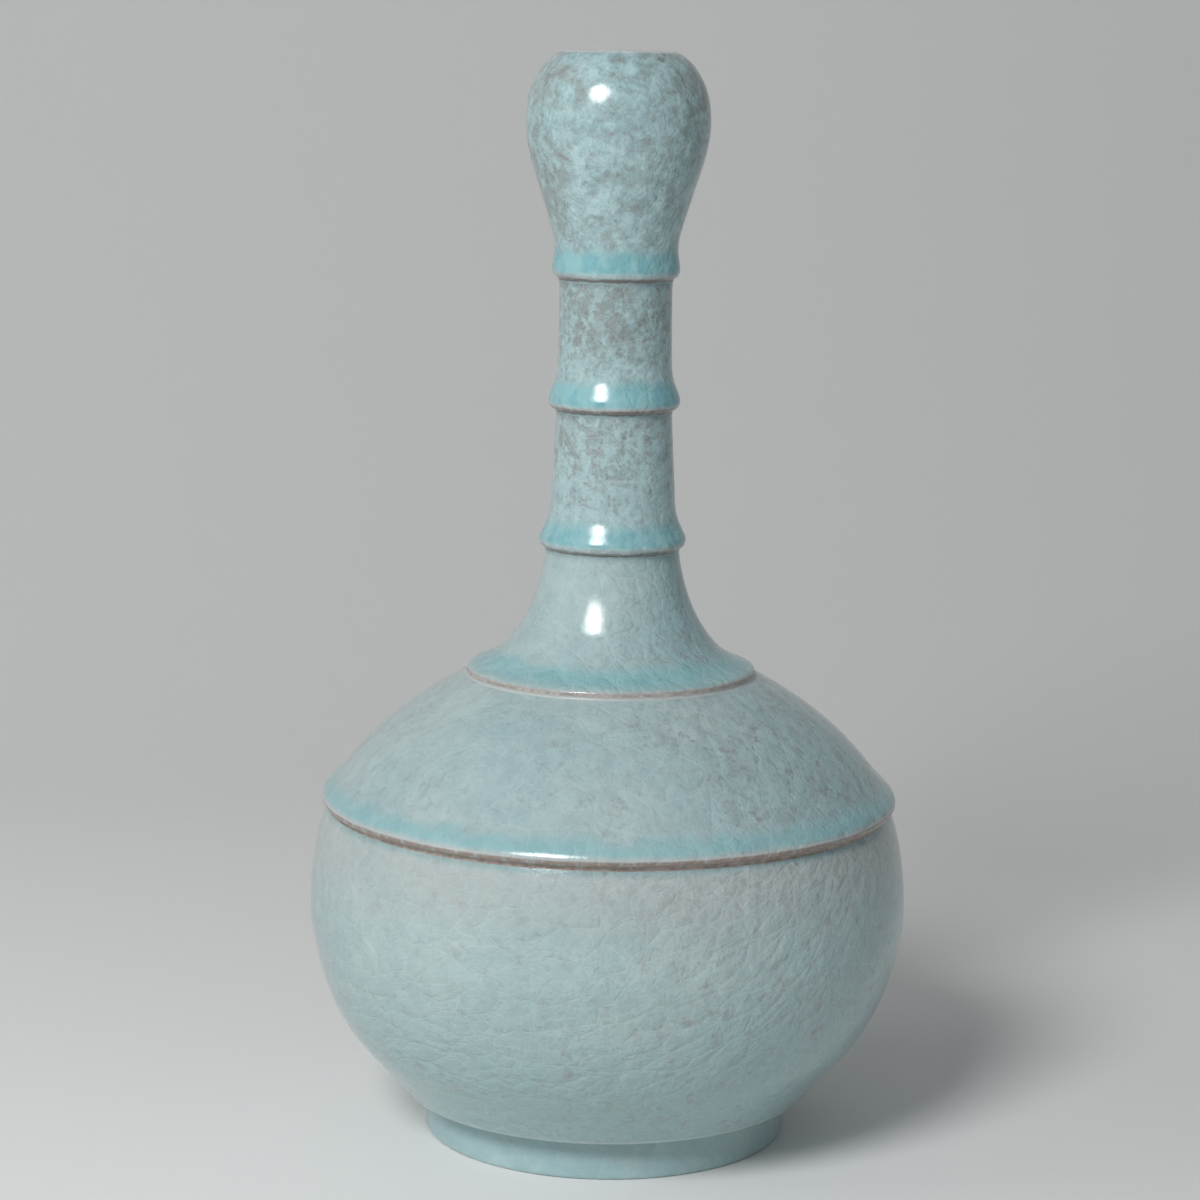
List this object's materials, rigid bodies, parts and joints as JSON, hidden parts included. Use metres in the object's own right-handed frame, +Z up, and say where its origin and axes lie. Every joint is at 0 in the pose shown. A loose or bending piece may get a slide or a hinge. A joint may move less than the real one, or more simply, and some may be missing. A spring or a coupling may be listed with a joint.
{
  "type": "vase",
  "caption": "Celadon garlic-mouth bottle vase: bulbous belly, stepped shoulder and slim ribbed neck under a pale blue-green crackled glaze, for holding cut stems or for display.",
  "frame": {"origin": "centre of the foot ring's contact face, on the vase's axis", "axes": "+Z up along the vase's axis, from foot to lip; +X and +Y across it, -Y towards the side that the picture shows"},
  "size_m": [0.1662, 0.1662, 0.3],
  "materials": {
    "glaze": "glossy crackled celadon glaze",
    "slip": "fired luting slip, matt"
  },
  "bodies": {
    "root": {"foot_ring": "glaze", "foot_slip": "slip", "lower_body": "glaze", "belly_slip": "slip", "shoulder": "glaze", "shoulder_slip": "slip", "neck_cone": "glaze", "neck_slip_low": "slip", "neck_lower": "glaze", "neck_slip_mid": "slip", "neck_upper": "glaze", "neck_slip_top": "slip", "garlic_head": "glaze"}
  },
  "joints": []
}
